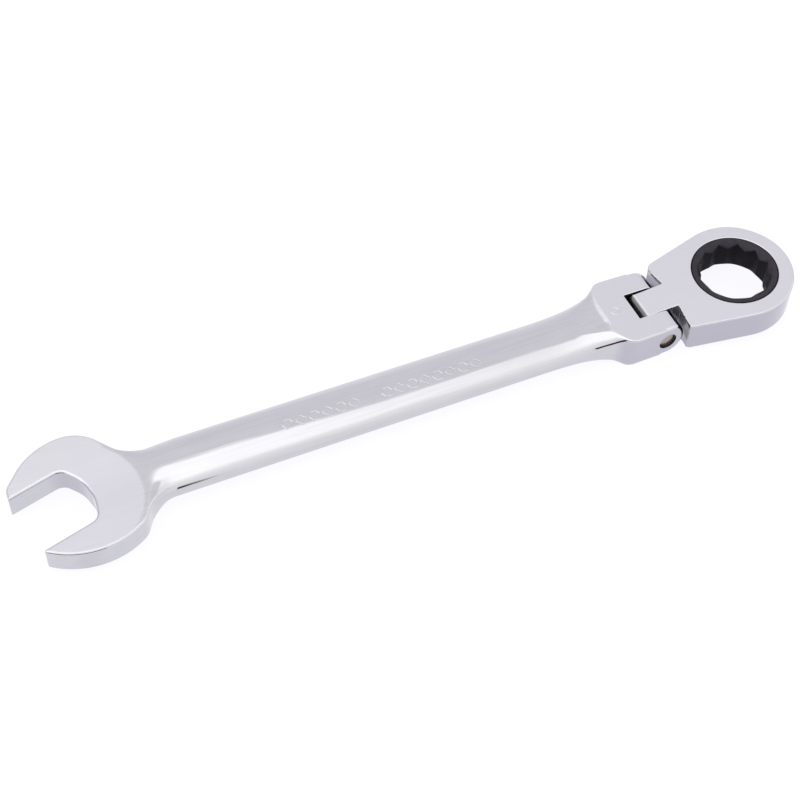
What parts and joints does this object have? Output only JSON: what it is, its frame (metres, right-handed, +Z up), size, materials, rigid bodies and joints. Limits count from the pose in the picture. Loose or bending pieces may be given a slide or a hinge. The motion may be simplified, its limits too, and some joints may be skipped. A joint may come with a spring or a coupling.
{
  "type": "ratchet wrench",
  "caption": "Flexible-head ratcheting combination wrench with an angled open end, an oval shank, a forked hinge and a ring head holding a multi-point ratchet drive.",
  "frame": {"origin": "bottom centre of the whole wrench's bounding box, with the head at its rest tilt", "axes": "+X along the shank from the open end to the ratchet head, +Z up out of the wrench's flat side, +Y to the left of the shank seen from the open end"},
  "size_m": [0.325, 0.0522, 0.0191],
  "materials": {
    "chrome": "polished chrome plate on vanadium steel",
    "black_oxide": "satin black oxide",
    "plain_steel": "unplated machined steel",
    "spring_steel": "bright drawn spring steel"
  },
  "bodies": {
    "handle": {"wrench_body": "chrome", "hinge_pin": "plain_steel", "friction_spring": "spring_steel"},
    "flex_head": {"ratchet_head": "chrome", "gear_retaining_ring": "spring_steel", "pawl_spring": "spring_steel"},
    "drive_gear": {"drive_gear": "black_oxide"},
    "pawl": {"pawl": "plain_steel"},
    "friction_ball": {"friction_ball": "spring_steel"}
  },
  "joints": [
    {"name": "head_tilt", "type": "hinge", "parent": "handle", "child": "flex_head", "pos_m": [0.09778, 0.00088, 0.0074], "axis": [0, -1, 0], "range_deg": [-94.36, 85.64]},
    {"name": "gear_spin", "type": "hinge", "parent": "flex_head", "child": "drive_gear", "pos_m": [0.13796, 0.00088, 0.01046], "axis": [-0.076, 0, 0.9971], "continuous": true},
    {"name": "pawl_release", "type": "slide", "parent": "flex_head", "child": "pawl", "axis": [-0.9971, 0, -0.076], "range_m": [0, 0.0009], "stiffness_N_per_m": 600, "springref_m": -0.002, "deforming": ["pawl_spring"]},
    {"name": "ball_travel", "type": "slide", "parent": "handle", "child": "friction_ball", "axis": [-1, 0, 0], "range_m": [0, 0.0008], "stiffness_N_per_m": 3000, "springref_m": -0.002, "deforming": ["friction_spring"]}
  ]
}
